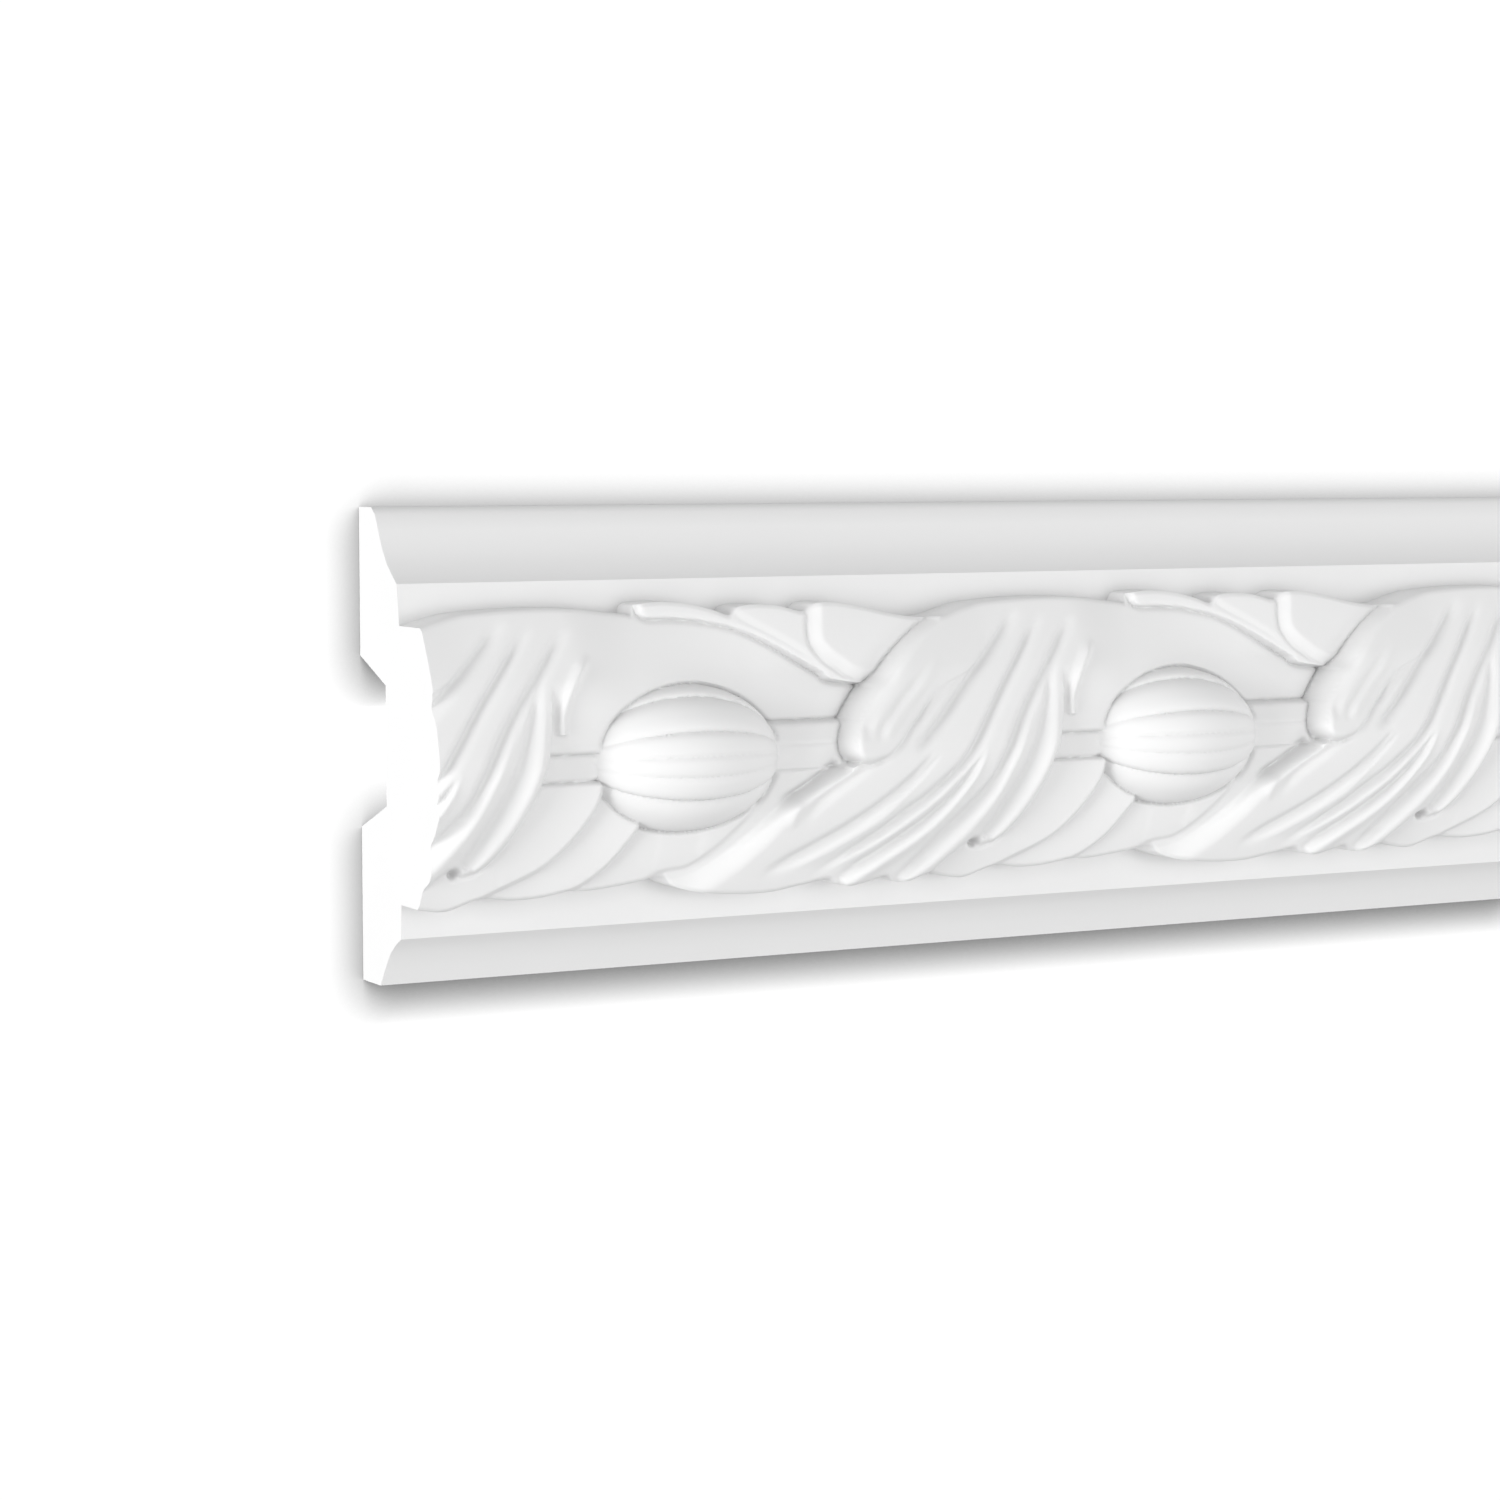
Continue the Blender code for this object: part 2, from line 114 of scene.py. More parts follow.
def beside(line, x, y):
    """Distance to a line, positive on its left side, and the share of the line passed there."""
    nearest = np.full(x.shape, np.inf)
    side = np.ones(x.shape)
    along = np.zeros(x.shape)
    passed = 0.0
    for a, b in zip(line, line[1:]):
        e = b - a
        length = np.hypot(*e)
        t = np.clip(((x - a[0]) * e[0] + (y - a[1]) * e[1]) / length**2, 0, 1)
        away = np.hypot(x - a[0] - t * e[0], y - a[1] - t * e[1])
        closer = away < nearest
        nearest = np.where(closer, away, nearest)
        side = np.where(closer, np.where(e[0] * (y - a[1]) > e[1] * (x - a[0]), 1.0, -1.0), side)
        along = np.where(closer, passed + t * length, along)
        passed += length
    return nearest * side, along / passed


def inside(outline, x, y):
    """Distance to a closed outline, positive inside it."""
    ring = np.vstack([outline, outline[:1]])
    away, _ = beside(ring, x, y)
    held = np.zeros(x.shape, bool)
    for a, b in zip(ring, ring[1:]):
        crosses = (a[1] > y) != (b[1] > y)
        rise = b[1] - a[1] if b[1] != a[1] else 1.0
        held ^= crosses & (x < a[0] + (y - a[1]) * (b[0] - a[0]) / rise)
    return np.where(held, abs(away), -abs(away))


CREVICE_WIDTH = 0.6


def lay(outline, surface, wall=0.6, crevice=0.0):
    """Lays a leaf over what is there, with a steep wall and a crevice along its outline."""
    for there, x, y in near(outline, 2.5 * CREVICE_WIDTH + wall):
        held = inside(outline, x, y)
        cover = soft(held / wall + 0.5)
        cut = crevice * np.exp(-(np.minimum(held + wall / 2, 0) / CREVICE_WIDTH)**2)
        depth[there] += (surface(x, y, held) - depth[there]) * cover - cut * (1 - cover)


def carve(points, rise, width, fade, right=None, shift=0.0, start=1.0):
    """Raises a ridge beside a line, or cuts a groove where the rise is below zero.

    Its middle lies to the right of the line by the shift, its right flank may be wider, and it
    may start as a share of its full size. Fade is how much of it fades out at each end.
    """
    line = spline(*points)
    right = right or width
    for there, x, y in near(line, 2.5 * max(width, right) + abs(shift)):
        away, along = beside(line, x, y)
        if line[-1, 1] > line[0, 1]:
            away = -away
        grown = start + (1 - start) * soft(along / 0.6)
        away = away / grown - shift
        ends = soft(along / fade[0]) * soft((1 - along) / fade[1])
        depth[there] += rise * grown * ends * np.exp(-(away / np.where(away > 0, right, width))**2)


def crown(y):
    """Round front of the wrapped leaves."""
    return 42.3 - 0.056 * abs(y - ROD_HEIGHT)**1.55


def bed(y):
    """Flatter front of what lies between the wrapped leaves."""
    return 38.8 - 0.0105 * (y - ROD_HEIGHT)**2


# Long blade over the bead: the right part of each wrapped leaf runs on as one smooth blade.
# It starts at the leaf's height and sinks towards the next leaf, under the fingers.
BLADE_SINK = 5.0
depth = bed(v)
for x in (u + REPEAT, u, u - REPEAT):
    sink = BLADE_SINK * soft((x - 45) / 35) * soft((78 - v) / 14) * (x < 130) * (v > ROD_HEIGHT)
    rise = (crown(v) - bed(v)) * soft((48 - x) / 16) * soft((v - 56) / 9) * (x > -10)
    depth += rise - sink


# Lobes below the rod: three leaf lobes, each lying over the next one to its right.
# Each has a raised lip along its edge, and the next lobe dips under it.
LOBE_LIP = 0.9
LOBE_DIP = 1.4
for edge in (spline((31, 19), (35.5, 21), (38.5, 23), (41.7, 26), (44.8, 30), (46.9, 33), (48.5, 36)),
             spline((11, 18.5), (17, 21.4), (25, 25.2), (30, 29.3), (34, 34), (36.6, 38),
                    (37.6, 40.5), (38.2, 43.5))):
    for there, x, y in near(edge, 14):
        away, _ = beside(edge, x, y)
        lip = LOBE_LIP * np.exp(-np.clip(away, 0, None) / 5) * soft(away)
        dip = -LOBE_DIP * np.exp(-np.clip(-away, 0, None) / 6) * soft(-away / 0.6)
        depth[there] += np.where(y < 45, np.where(away > 0, lip, dip), 0)


# Rod that threads the beads: eight-sided, seen only where no leaf or bead covers it.
# Left of a bead the leaves hide all but its front face, right of it the next face shows too.
ROD_FRONT = 37.6
ROD_LOW, ROD_HIGH, ROD_CORNER = 43.5, 49.5, 54.1
ROD_SLOPE = 0.35
ROD_START, ROD_MIDDLE, ROD_END = 10, 58, 110
rod_face = ROD_FRONT - ROD_SLOPE * np.clip(v - ROD_HIGH, 0, None)
for x in (u + REPEAT, u, u - REPEAT):
    for start, end, top in ((ROD_START, ROD_MIDDLE, ROD_HIGH), (ROD_MIDDLE, ROD_END, ROD_CORNER)):
        shown = soft((v - ROD_LOW) / 0.5 + 0.5) * soft((top - v) / 0.5 + 0.5) * (x > start) * (x < end)
        depth += (rod_face - depth) * shown
for start, end, height, rise, width in ((ROD_START, ROD_END, ROD_LOW, -0.5, 0.5),
                                        (ROD_START, ROD_MIDDLE, ROD_HIGH, -0.5, 0.5),
                                        (ROD_MIDDLE, ROD_END, ROD_HIGH, -0.3, 0.4),
                                        (ROD_MIDDLE, ROD_END, ROD_CORNER, -0.7, 0.5)):
    carve([(start, height), (end, height)], rise, width, (0.01, 0.01))


# Three leaf fingers at the top, reaching out from behind the next wrapped leaf.
# Each lies over the one before it, and the last has a rolled rim.
FINGER_OUT = 29.7
FINGER_SLOPE = 0.24
FINGER_TOP = 78.0
lowest_finger = spline((50.6, 79), (50.9, 77.4), (52.4, 76.6), (57, 76.5), (63, 76.1), (71, 74.6),
                       (76.2, 72.9), (81.7, 70.4), (87, 67.5), (92.5, 64.4), (97, 62.2), (120, 61))
middle_finger = spline((73.4, 79), (73.6, 77.2), (75, 76), (81, 72.9), (86.2, 70), (91.5, 66.5),
                       (96.5, 63.4), (102, 61.5), (120, 60))
last_finger = spline((91.1, 80), (90.8, 76.9), (90.3, 73.9), (90.7, 70.3), (93.2, 67.2), (96, 65.2),
                     (99.6, 62.9), (106, 61), (120, 60.5))
for edge, lift, lean, drop, round_width, gap in ((lowest_finger, 0.6, 0, 0.35, 1.2, 0.6),
                                                 (middle_finger, 0.85, 0, 0.25, 1.4, 0.1),
                                                 (last_finger, 1.9, 0.07, 1.3, 3.2, 0.55)):
    lay(np.vstack([edge, [(140, 84), (edge[0, 0], 84)]]),
        lambda x, y, held: FINGER_OUT + (FINGER_TOP - y) * FINGER_SLOPE + lift
        - lean * (x - edge[0, 0]) - drop * soft(1 - held / round_width), crevice=gap)


# Wrapped leaf: a fluted acanthus leaf that winds across the rod from its lower left tip. The tip
# rises out of the bed to the leaf's full height, and the tongue there has a steep upper edge.
TIP_RISE_WIDTH = 7.3
TIP_SINK = 0.5
LEAF_LIFT = 0.6
LEAF_LEAN = 0.04
RIGHT_DROP = 0.9
TIP_POINTS = [(51, 21.9), (56, 22.8), (59.8, 23.3), (62.4, 24.5), (66.6, 27.5), (69.7, 30.3),
              (72.9, 33.5), (75.3, 36.7), (77.5, 40.4), (78.7, 44)]
RIGHT_POINTS = [(151.6, 66), (151, 58), (150.2, 50), (148.6, 44), (145.9, 38), (142.2, 31.6),
                (138.4, 27.2), (135, 25), (132, 24.5), (130.9, 25.6), (129.4, 25.8),
                (125.9, 23.4), (122, 19.8), (118, 14)]
tip_edge = spline(*TIP_POINTS)
tongue_edge = spline((50, 20.3), (60, 22.2), (66, 25.2), (72, 28.9), (76, 32), (80, 35.4),
                     (84, 38.1), (88.7, 40.9), (94.8, 44.2))


def leaf_surface(x, y, held):
    """Front of the wrapped leaf before it is fluted."""
    from_tip, _ = beside(tip_edge, x, y)
    from_tongue, _ = beside(tongue_edge, x, y)
    ramp = soft(-from_tip / TIP_RISE_WIDTH) * soft(0.5 - from_tongue / 2)
    ramp = np.where(x > 97, 1.0, ramp)
    low = bed(y) - TIP_SINK
    high = crown(y) + (LEAF_LIFT - LEAF_LEAN * np.clip(x - 105, 0, None)) * soft((66 - y) / 14)
    rounded = RIGHT_DROP * soft(1 - held / 2) * (x > 100) * soft((58 - y) / 8)
    return low + (high - low) * ramp - rounded


lay(np.vstack([tip_edge, tongue_edge[-1:], [(108, 60), (130, 84), (160, 84)],
               spline(*RIGHT_POINTS), [(52, 14)]]), leaf_surface)
carve(TIP_POINTS, -0.7, 0.6, (0.1, 0.2), shift=-0.4)
carve(RIGHT_POINTS[2:], -0.6, 0.6, (0.15, 0.02), shift=-0.4)


# Flutes: long grooves cut with a gouge from the leaf's top edge down to its tips, with a small pit
# between the last two tips. The ridges between them stand up round, highest at the tips.
PIT_PLACE = (130.6, 25.7)
PIT_DEPTH = 2.6
PIT_SPREAD = 0.9

# Each has its line, rise, width, right flank, shift, share of its size at the start, and fade
FLUTES = [
    ([(116, 48.5), (111, 43.3), (106, 39.2), (100, 35), (94, 31.4), (88, 28.3), (82, 25.3), (76, 22)],
     -1.5, 1.1, 1.4, 1.2, 0.7, (0.2, 0.2)),
    ([(117.5, 47.5), (113, 42.8), (108.5, 38.7), (104, 35.7)], -0.4, 0.6, 0.6, 0.5, 1.0, (0.3, 0.3)),
    ([(149.4, 77), (144.3, 72.5), (139.2, 66.7), (134.2, 60.8), (129.2, 54), (124.6, 47.5),
      (121.9, 44.3), (118, 41), (114, 37.8), (110, 35.3), (104, 31), (96, 26), (87, 21.3)],
     -1.5, 1.1, 1.4, 1.3, 0.85, (0.13, 0.2)),
    ([(129.5, 48.3), (125, 42.3), (120, 37), (115, 32.8), (110, 29.4), (105, 26.2), (100, 23.4),
      (94.5, 20)], -1.5, 1.2, 1.3, 1.2, 0.6, (0.2, 0.2)),
    ([(158.6, 76), (154, 73.2), (148.5, 67), (142.5, 60), (137.9, 53.3), (133.7, 45.3), (130.8, 40),
      (125, 34), (120, 29), (115, 23.2), (109.5, 18.5)], -1.5, 1.3, 1.6, 1.2, 0.8, (0.13, 0.1)),
    ([(149, 67), (146.5, 60), (144.3, 54), (142, 48.5), (139.5, 43), (136.5, 37.5), (133.5, 32),
      (130.5, 26.5)], -1.4, 1.6, 1.8, 1.4, 0.5, (0.2, 0.05)),
    ([(101, 45), (96, 42.3), (91, 39.3), (87.4, 36.4), (85.6, 33.8), (84.8, 31.5)],
     -0.8, 1.4, 1.4, 0.0, 0.7, (0.3, 0.3)),
    ([(84.5, 37.6), (82.9, 35.7), (82.2, 33.6), (82.6, 31)], 0.5, 1.2, 1.2, 0.0, 1.0, (0.3, 0.4)),
    ([(95, 45.2), (90.6, 42.6), (86.3, 39.9), (82.3, 37.9), (79, 36.6)],
     -1.8, 1.2, 1.2, 0.0, 1.0, (0.1, 0.3)),
    ([(115.5, 43.5), (110, 38.3), (104, 33), (97, 29), (90, 25.3), (83, 22)],
     0.3, 0.9, 0.9, 0.5, 0.4, (0.4, 0.2)),
    ([(124, 43.5), (118, 37.5), (112, 32.8), (105, 28.5), (98, 24.8), (91, 21.3)],
     0.5, 0.9, 0.9, 0.5, 0.8, (0.2, 0.2)),
    ([(129.8, 48.5), (127, 42.3), (123, 37.2), (118, 32), (112, 27.3), (105, 22.8), (98, 18)],
     1.4, 1.8, 1.8, 0.8, 0.4, (0.2, 0.02)),
    ([(147, 66), (142.5, 56.5), (138.3, 48.5), (134.5, 41.5), (131, 35), (126, 28.5), (120, 22.8),
      (113, 17.5)], 1.1, 1.8, 1.8, 0.8, 0.2, (0.5, 0.02)),
    ([(150, 66), (148.9, 57.5), (147.5, 51), (145.3, 44.5), (142.3, 38), (138.4, 32), (133.5, 26.5)],
     0.9, 1.7, 1.5, 0.8, 0.2, (0.5, 0.02))]
for points, rise, width, right, shift, start, fade in FLUTES:
    carve(points, rise, width, fade, right, shift, start)
for x in (u + REPEAT, u, u - REPEAT):
    depth -= PIT_DEPTH * np.exp(-((x - PIT_PLACE[0])**2 + (v - PIT_PLACE[1])**2) / PIT_SPREAD)


# Beads: one ribbed bead to a repeat, threaded on the rod and half as long again as it is wide.
# Its ribs are round and meet in creases that run from end to end, and it sits in a thin groove.
BEAD_MIDDLE = 58.2
BEAD_HALF_LENGTH = 23.5
BEAD_RADIUS = 15.9
BEAD_HEIGHT = 47.2
BEAD_AXIS = 31.0
RIB_ROUND = 0.09
SEAT_CUT = 1.3
SEAT_WIDTH = 0.5
ROD_CLEAR = 2.5
CREASE_WIDTH = 0.55

# Each crease has its turn round the bead, in degrees, and how deep it is cut
BEAD_CREASES = [(-90, 0), (-29.6, 0.15), (-10.8, 0.08), (4.6, 0.08), (23.6, 0.2), (56.6, 0.1), (90, 0)]
for x in (u + REPEAT, u, u - REPEAT):
    past = np.sqrt(((x - BEAD_MIDDLE) / BEAD_HALF_LENGTH)**2 + ((v - BEAD_HEIGHT) / BEAD_RADIUS)**2
                   + ((depth - BEAD_AXIS) / BEAD_RADIUS)**2) - 1
    off_rod = soft((abs(v - BEAD_HEIGHT) - ROD_CLEAR) / 2)
    depth -= SEAT_CUT * off_rod * np.exp(-(past * BEAD_RADIUS / SEAT_WIDTH)**2)
for x in (u + REPEAT, u, u - REPEAT):
    radius = BEAD_RADIUS * np.sqrt(np.clip(1 - ((x - BEAD_MIDDLE) / BEAD_HALF_LENGTH)**2, 0, 1))
    turn = np.degrees(np.arcsin(np.clip((v - BEAD_HEIGHT) / np.maximum(radius, 1e-6), -1, 1)))
    for (low, low_cut), (high, high_cut) in zip(BEAD_CREASES, BEAD_CREASES[1:]):
        across = abs(2 * (turn - low) / (high - low) - 1)
        rib = (across <= 1) * radius
        gap = np.radians(np.minimum(turn - low, high - turn)) * radius
        cut = np.where(turn - low < high - turn, low_cut, high_cut) * np.exp(-(gap / CREASE_WIDTH)**2)
        cut *= soft((x - BEAD_MIDDLE) / BEAD_HALF_LENGTH + 1)
        radius -= rib * RIB_ROUND * np.radians(high - low) * across**3 + (rib > 0) * cut
    out = BEAD_AXIS + np.sqrt(np.clip(radius**2 - (v - BEAD_HEIGHT)**2, 0, None))
    depth = np.where(abs(v - BEAD_HEIGHT) < radius, np.maximum(depth, out), depth)


# Fold: the leaf's left edge turned over towards the viewer, the nearest part of the carving.
# It lies like a thick tongue with a gutter inside its rim, and two slim ribs beside the gutter.
FOLD_LIFT = 2.1
FOLD_UPPER_LIFT = 1.5
FOLD_LEAN = 0.1
FOLD_CURL = 0.4
FOLD_ROUND = 0.8
FOLD_RIM = [(122, 75.2), (117, 72.6), (112.6, 69.5), (108.5, 66), (105.6, 63), (102.8, 60.8),
            (100.1, 58), (97.7, 55), (95.9, 52), (95, 49.4), (95.4, 47.2), (97, 45.7)]
FOLD_FOOT = [(100, 45.3), (104, 46.4), (107.3, 49), (110, 52), (112.8, 54.5), (115.8, 57.5),
             (119.5, 60.9)]
FOLD_TOP = [(125, 63.2), (130, 65.6), (133.6, 68.4), (137.2, 71.6), (140.8, 74.8), (144.4, 78.2)]


def fold_surface(x, y, held):
    """Front of the fold: lifted off the leaf, leaning to the right, and round along its rim."""
    return (crown(y) + FOLD_LIFT + FOLD_UPPER_LIFT * soft((y - 56) / 10)
            - FOLD_LEAN * np.minimum(x - 97, 36) + FOLD_CURL * np.exp(-abs(x - 95) / 10)
            - FOLD_ROUND * soft(1 - held / 2)**2 * soft((122 - x) / 10))


lay(np.vstack([spline(*FOLD_RIM, *FOLD_FOOT, *FOLD_TOP), [(145, 84), (124, 84)]]), fold_surface,
    wall=1.0)
carve(FOLD_RIM + FOLD_FOOT[:2], -0.6, 0.6, (0.02, 0.05), shift=-0.4)

# Each has its line, rise, width, right flank and fade: the fold's foot, the gutter, the groove
# beside it, two ribs, and the wide flute to the fold's right
FOLD_LINES = [
    (FOLD_FOOT, -0.35, 0.7, 0.8, (0.05, 0.4)),
    ([(98.2, 49.5), (98, 52.5), (100, 56.5), (103.5, 61.2), (108, 65.8), (113, 70)],
     -0.9, 1.7, 1.7, (0.15, 0.5)),
    ([(100.2, 49.5), (102, 53), (104.7, 55.6), (108.5, 59.3), (111.5, 62), (114.5, 64.8), (118, 68)],
     -0.45, 0.8, 0.8, (0.15, 0.4)),
    ([(102, 49.6), (105.2, 53.4), (109.3, 57.3), (113, 60.6), (117, 64.3), (121, 68)],
     0.5, 1.1, 1.1, (0.15, 0.4)),
    ([(111.5, 51.5), (113.5, 53.2), (117, 56.1), (121, 60.2), (124.5, 63.8)],
     0.4, 0.9, 0.9, (0.3, 0.4)),
    ([(144.2, 77), (140.8, 74.6), (137, 71.2), (133.4, 68), (129.8, 65), (126.4, 61.7),
      (123.2, 58.7), (119.8, 55.3), (116.4, 52), (113.1, 49.3), (110, 47.2)],
     -1.4, 1.1, 1.5, (0.2, 0.12))]
for points, rise, width, right, fade in FOLD_LINES:
    carve(points, rise, width, fade, right)


# Outer edges of the belt: all the leaves are rounded over where they drop to the flat bands.
# Before that, a slim crescent is raised on each blade, close beside its wrapped leaf.
EDGE_ROUND = 1.0
EDGE_DROP = 0.6
CRESCENT = [(153.3, 53.2), (153.5, 57), (154.4, 60.5), (156.1, 64), (158.7, 67.4), (161.8, 69.8)]
carve(CRESCENT, 1.2, 1.1, (0.03, 0.25))
to_top, to_foot = column_top[:, None] - v, v - column_foot[:, None]
depth -= EDGE_DROP * (soft(1 - to_top / EDGE_ROUND)**2 + soft(1 - to_foot / EDGE_ROUND)**2)


# The rail itself: one casting, 311.5 mm long. One repeat of it is a tube, made of the carved belt,
# its side walls, the bands, the hollow mouldings and the back. The repeats are laid end to end, the
# last one is sawn through, and the two sawn ends are closed.
LENGTH = 0.3115
MOUNT_HEIGHT = 0.0844
MM = 0.001
KEPT_SHARE = 0.61
SHARP_ANGLE = 40
TOUCHING = 0.01 * MM
SAW_SLACK = 0.001 * MM
upper_profile = [(20.2, 84.5), (19.7, 84.75), (17.8, 86.2), (15.1, 88.35), (12.6, 91.4),
                 (10.5, 95.2), (8.9, 98.4), (6.7, 100), (0, 100), (0, 68.8), (13.8, 63.3)]
lower_profile = [(13.8, 38.1), (0, 32.6), (0, 0), (9.6, 0), (12.4, 4.0), (15.3, 7.5),
                 (18.1, 9.6), (20.9, 11.1)]

bm = bmesh.new()


def tube_point(i, d, h):
    """Point of the tube in column i, at depth d and height h in millimetres."""
    return bm.verts.new((i * REPEAT * MM / COLUMNS - LENGTH / 2, -d * MM, h * MM - MOUNT_HEIGHT))


columns = range(COLUMNS + 1)
front = [[tube_point(i, depth[i % COLUMNS, j], v[i % COLUMNS, j]) for j in range(ROWS + 1)]
         for i in columns]
top_foot = [tube_point(i, BAND_DEPTH, column_top[i % COLUMNS]) for i in columns]
low_foot = [tube_point(i, BAND_DEPTH, column_foot[i % COLUMNS]) for i in columns]
left, right = ([tube_point(i, d, h) for d, h in upper_profile + lower_profile]
               for i in (0, COLUMNS))
for i in range(COLUMNS):
    a, b = front[i], front[i + 1]
    for j in range(ROWS):
        quad = (a[j], b[j], b[j + 1], a[j + 1])
        k = int(abs(quad[0].co.y - quad[2].co.y) > abs(quad[1].co.y - quad[3].co.y))
        bm.faces.new((quad[k], quad[k + 1], quad[k + 2]))
        bm.faces.new((quad[k + 2], quad[(k + 3) % 4], quad[k]))
    bm.faces.new((a[ROWS], b[ROWS], top_foot[i + 1], top_foot[i]))
    bm.faces.new((low_foot[i], low_foot[i + 1], b[0], a[0]))
bm.faces.new(top_foot + [right[0], left[0]])
bm.faces.new([left[-1], right[-1]] + low_foot[::-1])
for i in range(len(left) - 1):
    bm.faces.new((left[i], right[i], right[i + 1], left[i + 1]))
tube_mesh = bpy.data.meshes.new("tube")
bm.to_mesh(tube_mesh)
bm.free()

primer = bpy.data.materials.new("primed_polyurethane")
primer.use_nodes = True
nodes, links = primer.node_tree.nodes, primer.node_tree.links
primer_shader = nodes["Principled BSDF"]
primer_shader.inputs["Base Color"].default_value = (0.86, 0.86, 0.86, 1)
place = nodes.new("ShaderNodeTexCoord")
grain = nodes.new("ShaderNodeTexNoise")
grain.inputs["Scale"].default_value = 1400
grain.inputs["Detail"].default_value = 3
links.new(place.outputs["Object"], grain.inputs["Vector"])
cloud = nodes.new("ShaderNodeTexNoise")
cloud.inputs["Scale"].default_value = 60
links.new(place.outputs["Object"], cloud.inputs["Vector"])
sheen = nodes.new("ShaderNodeMapRange")
sheen.inputs["To Min"].default_value, sheen.inputs["To Max"].default_value = 0.52, 0.68
links.new(cloud.outputs["Fac"], sheen.inputs["Value"])
links.new(sheen.outputs["Result"], primer_shader.inputs["Roughness"])
# Painted shade: an ambient-occlusion node darkens the primer's colour in crevices and hollows, where
# shade falls.
crevice = nodes.new("ShaderNodeAmbientOcclusion")
crevice.samples = 8
crevice.inputs["Distance"].default_value = 0.006
painted_crevice_shade = nodes.new("ShaderNodeMapRange")
painted_crevice_shade.inputs["From Min"].default_value, painted_crevice_shade.inputs["From Max"].default_value = 0.3, 1.0
painted_crevice_shade.inputs["To Min"].default_value, painted_crevice_shade.inputs["To Max"].default_value = 0.7, 0.87
links.new(crevice.outputs["AO"], painted_crevice_shade.inputs["Value"])
links.new(painted_crevice_shade.outputs["Result"], primer_shader.inputs["Base Color"])
bump = nodes.new("ShaderNodeBump")
bump.inputs["Strength"].default_value = 0.15
bump.inputs["Distance"].default_value = 0.0001
links.new(grain.outputs["Fac"], bump.inputs["Height"])
links.new(bump.outputs["Normal"], primer_shader.inputs["Normal"])

layout = bpy.data.node_groups.new("repeats", "GeometryNodeTree")
for name, kind in (("Tube", "Geometry"), ("Repeats", "Int"), ("Spacing", "Float")):
    layout.interface.new_socket(name, in_out="INPUT", socket_type="NodeSocket" + kind)
layout.interface.new_socket("Rail", in_out="OUTPUT", socket_type="NodeSocketGeometry")
nodes, links = layout.nodes, layout.links
given, made = nodes.new("NodeGroupInput"), nodes.new("NodeGroupOutput")
step = nodes.new("ShaderNodeCombineXYZ")
starts = nodes.new("GeometryNodeMeshLine")
copies = nodes.new("GeometryNodeInstanceOnPoints")
solid = nodes.new("GeometryNodeRealizeInstances")
joined = nodes.new("GeometryNodeMergeByDistance")
joined.inputs["Distance"].default_value = TOUCHING
coated = nodes.new("GeometryNodeSetMaterial")
coated.inputs["Material"].default_value = primer
links.new(given.outputs["Spacing"], step.inputs["X"])
links.new(step.outputs[0], starts.inputs["Offset"])
links.new(given.outputs["Repeats"], starts.inputs["Count"])
links.new(starts.outputs[0], copies.inputs["Points"])
links.new(given.outputs["Tube"], copies.inputs["Instance"])
links.new(copies.outputs[0], solid.inputs[0])
links.new(solid.outputs[0], joined.inputs[0])
links.new(joined.outputs[0], coated.inputs[0])
links.new(coated.outputs[0], made.inputs[0])

rail = bpy.data.objects.new("carved_rail", tube_mesh)
bpy.context.scene.collection.objects.link(rail)
repeats = rail.modifiers.new("repeats", "NODES")
repeats.node_group = layout
sockets = {item.name: item.identifier for item in layout.interface.items_tree}
repeats[sockets["Repeats"]] = int(np.ceil(LENGTH / (REPEAT * MM) - 0.001))
repeats[sockets["Spacing"]] = REPEAT * MM
long_mesh = bpy.data.meshes.new_from_object(rail.evaluated_get(bpy.context.evaluated_depsgraph_get()))
rail.modifiers.remove(repeats)
bm = bmesh.new()
bm.from_mesh(long_mesh)
bmesh.ops.bisect_plane(bm, geom=bm.verts[:] + bm.edges[:] + bm.faces[:], dist=SAW_SLACK,
                       plane_co=(LENGTH / 2, 0, 0), plane_no=(1, 0, 0), clear_outer=True)
bmesh.ops.holes_fill(bm, edges=[edge for edge in bm.edges if edge.is_boundary])
bmesh.ops.recalc_face_normals(bm, faces=bm.faces)
bm.to_mesh(long_mesh)
bm.free()
rail.data = long_mesh
thinned = rail.modifiers.new("thinned", "DECIMATE")
thinned.ratio = KEPT_SHARE
rail_mesh = bpy.data.meshes.new_from_object(rail.evaluated_get(bpy.context.evaluated_depsgraph_get()))
rail.modifiers.remove(thinned)
rail.data = rail_mesh
rail_mesh.shade_smooth()
rail_mesh.set_sharp_from_angle(angle=np.radians(SHARP_ANGLE))
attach(rail, "root")
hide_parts("dado_rail")


# Wall that the rail is glued to: plain and white, glowing, with a painted shadow only close round the
# rail.
# It has one side, so that the rail's back shows from behind, and it lights nothing.
WALL_GAP = 0.0004
WALL_SIDE = 1.2
WALL_TOP = 0.7
FLOOR_LEVEL = -0.9
WALL_WHITE = 1.05
SHADOW_REACH = 0.0105
SHADOW_DEPTH = 1.75
wall_mesh = bpy.data.meshes.new("wall")
wall_mesh.from_pydata([(-WALL_SIDE, WALL_GAP, FLOOR_LEVEL), (WALL_SIDE, WALL_GAP, FLOOR_LEVEL),
                       (WALL_SIDE, WALL_GAP, WALL_TOP), (-WALL_SIDE, WALL_GAP, WALL_TOP)],
                      [], [(0, 1, 2, 3)])
wall = bpy.data.objects.new("wall", wall_mesh)
bpy.context.scene.collection.objects.link(wall)
wall.visible_diffuse = wall.visible_glossy = wall.visible_shadow = False
glowing_wall_with_painted_shadow = bpy.data.materials.new("glowing_wall_with_painted_shadow")
glowing_wall_with_painted_shadow.use_nodes = True
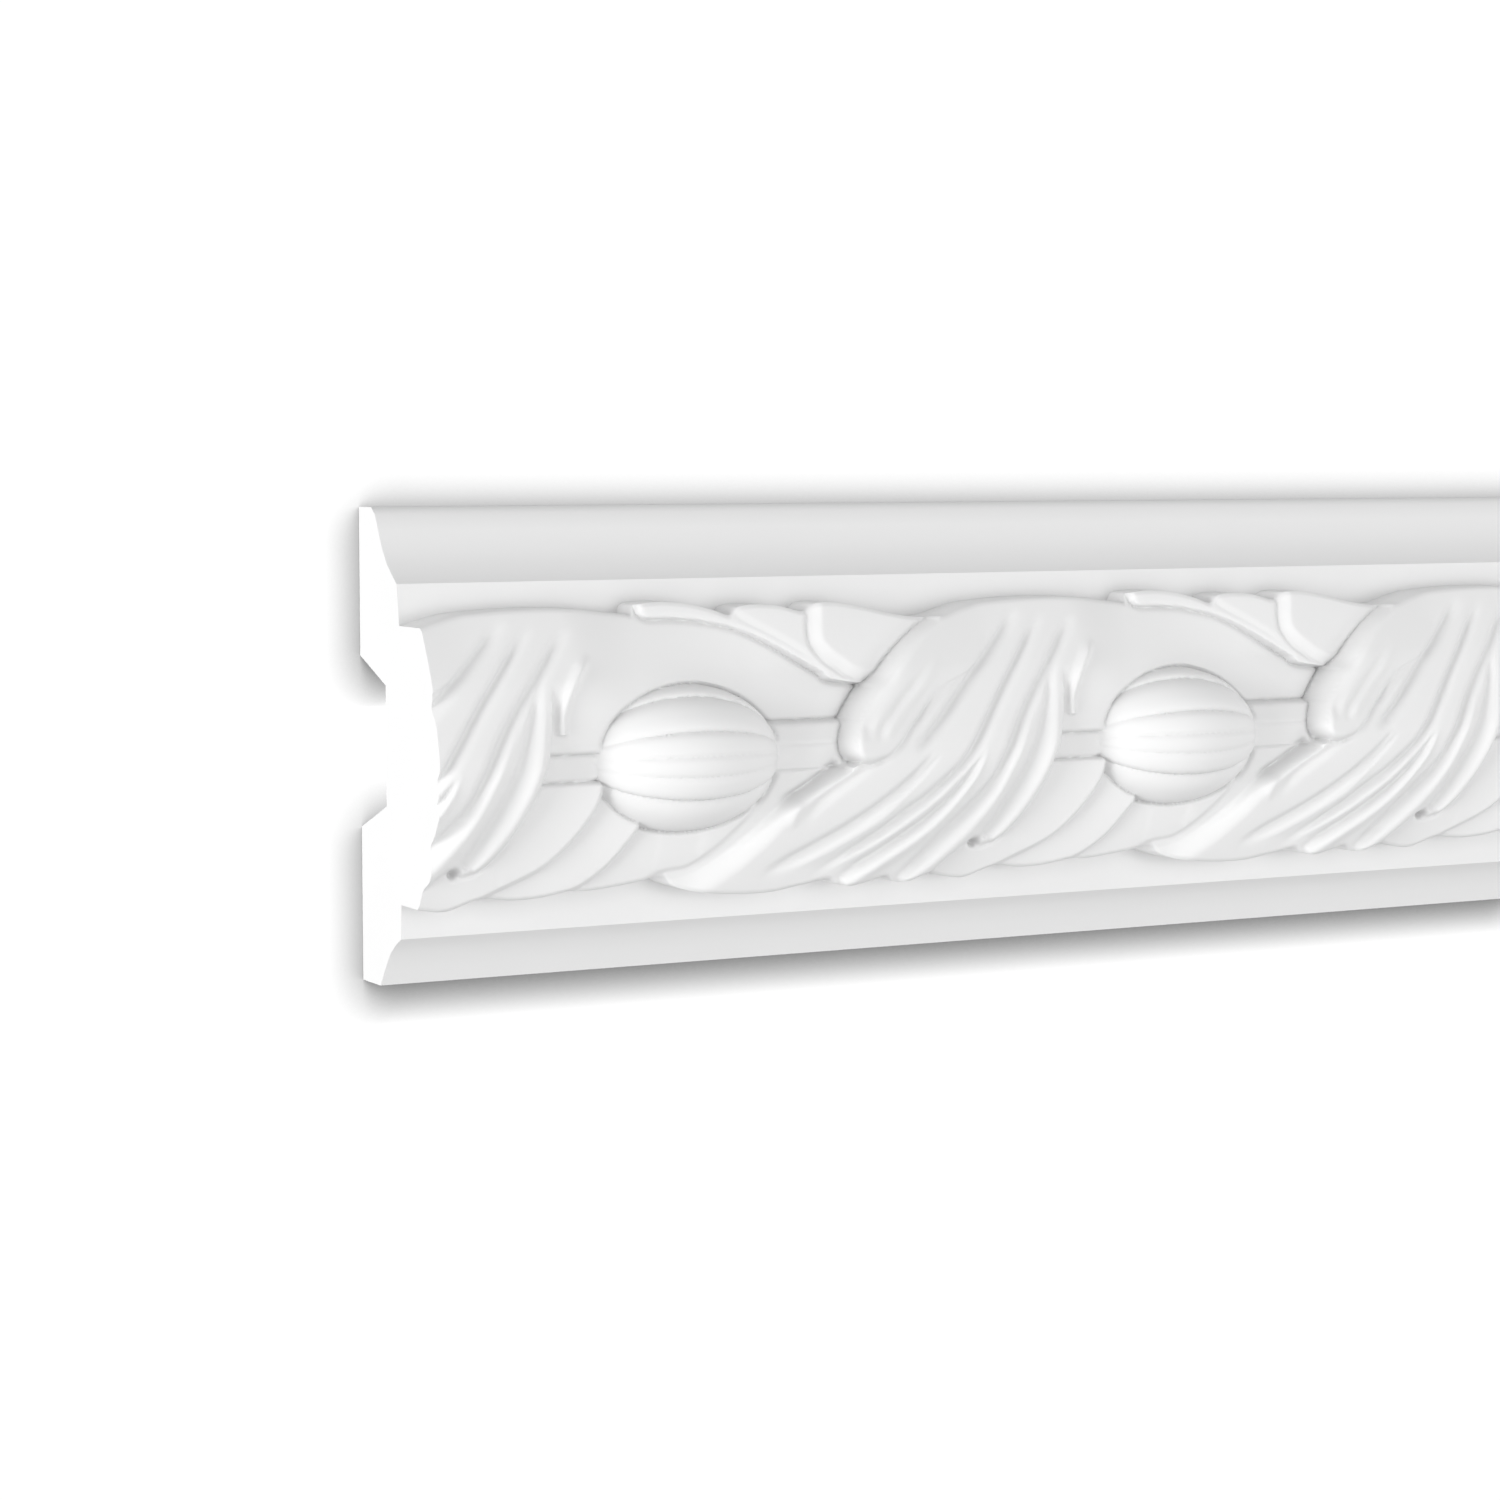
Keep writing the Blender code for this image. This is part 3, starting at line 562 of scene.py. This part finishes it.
nodes, links = glowing_wall_with_painted_shadow.node_tree.nodes, glowing_wall_with_painted_shadow.node_tree.links
nodes.clear()
output = nodes.new("ShaderNodeOutputMaterial")
glow = nodes.new("ShaderNodeEmission")
clear = nodes.new("ShaderNodeBsdfTransparent")
sides = nodes.new("ShaderNodeMixShader")
geometry = nodes.new("ShaderNodeNewGeometry")
# Painted shadow: an ambient-occlusion node, looking out, up and to the left, darkens the wall's glow
# near the rail, most below it.
shade = nodes.new("ShaderNodeAmbientOcclusion")
shade.samples = 16
shade.inputs["Distance"].default_value = SHADOW_REACH
lightward = nodes.new("ShaderNodeCombineXYZ")
for axis, share in enumerate((-0.34, -0.85, 0.41)):
    lightward.inputs[axis].default_value = share
links.new(lightward.outputs[0], shade.inputs["Normal"])
deepen = nodes.new("ShaderNodeGamma")
deepen.inputs["Gamma"].default_value = SHADOW_DEPTH
links.new(shade.outputs["Color"], deepen.inputs["Color"])
links.new(deepen.outputs["Color"], glow.inputs["Color"])
glow.inputs["Strength"].default_value = WALL_WHITE
links.new(geometry.outputs["Backfacing"], sides.inputs["Fac"])
links.new(glow.outputs[0], sides.inputs[1])
links.new(clear.outputs[0], sides.inputs[2])
links.new(sides.outputs[0], output.inputs["Surface"])
wall_mesh.materials.append(glowing_wall_with_painted_shadow)


# Floor of the room: plain, pale and matt, a good way below the rail.
# It is out of the picture, and only lightens the rail's underside a little.
FLOOR_SIDE = 3.0
floor_mesh = bpy.data.meshes.new("floor")
floor_mesh.from_pydata([(-FLOOR_SIDE, -FLOOR_SIDE, FLOOR_LEVEL), (FLOOR_SIDE, -FLOOR_SIDE, FLOOR_LEVEL),
                        (FLOOR_SIDE, FLOOR_SIDE, FLOOR_LEVEL), (-FLOOR_SIDE, FLOOR_SIDE, FLOOR_LEVEL)],
                       [], [(0, 1, 2, 3)])
floor = bpy.data.objects.new("floor", floor_mesh)
bpy.context.scene.collection.objects.link(floor)
floor_paint = bpy.data.materials.new("floor_paint")
floor_paint.use_nodes = True
floor_shader = floor_paint.node_tree.nodes["Principled BSDF"]
floor_shader.inputs["Base Color"].default_value = (0.9, 0.9, 0.9, 1)
floor_shader.inputs["Roughness"].default_value = 0.9
floor_mesh.materials.append(floor_paint)


# Studio light: a white dome, a strong soft light from the left, one from the front and a weak one
# from the right. Each lamp's turn is in degrees, from straight on towards the left.
SOFTNESS = 30
world = bpy.data.worlds.new("studio")
bpy.context.scene.world = world
world.use_nodes = True
dome = world.node_tree.nodes["Background"]
dome.inputs["Color"].default_value = (1, 1, 1, 1)
dome.inputs["Strength"].default_value = 0.49
for name, turn, strength in (("key", 80, 2.2), ("front", -10, 1.06), ("fill", -75, 0.3)):
    lamp = bpy.data.lights.new(name, "SUN")
    lamp.energy = strength
    lamp.angle = np.radians(SOFTNESS)
    light = bpy.data.objects.new(name, lamp)
    light.rotation_euler = np.radians((90, 0, -turn))
    bpy.context.scene.collection.objects.link(light)
bpy.context.scene.view_settings.view_transform = "Standard"
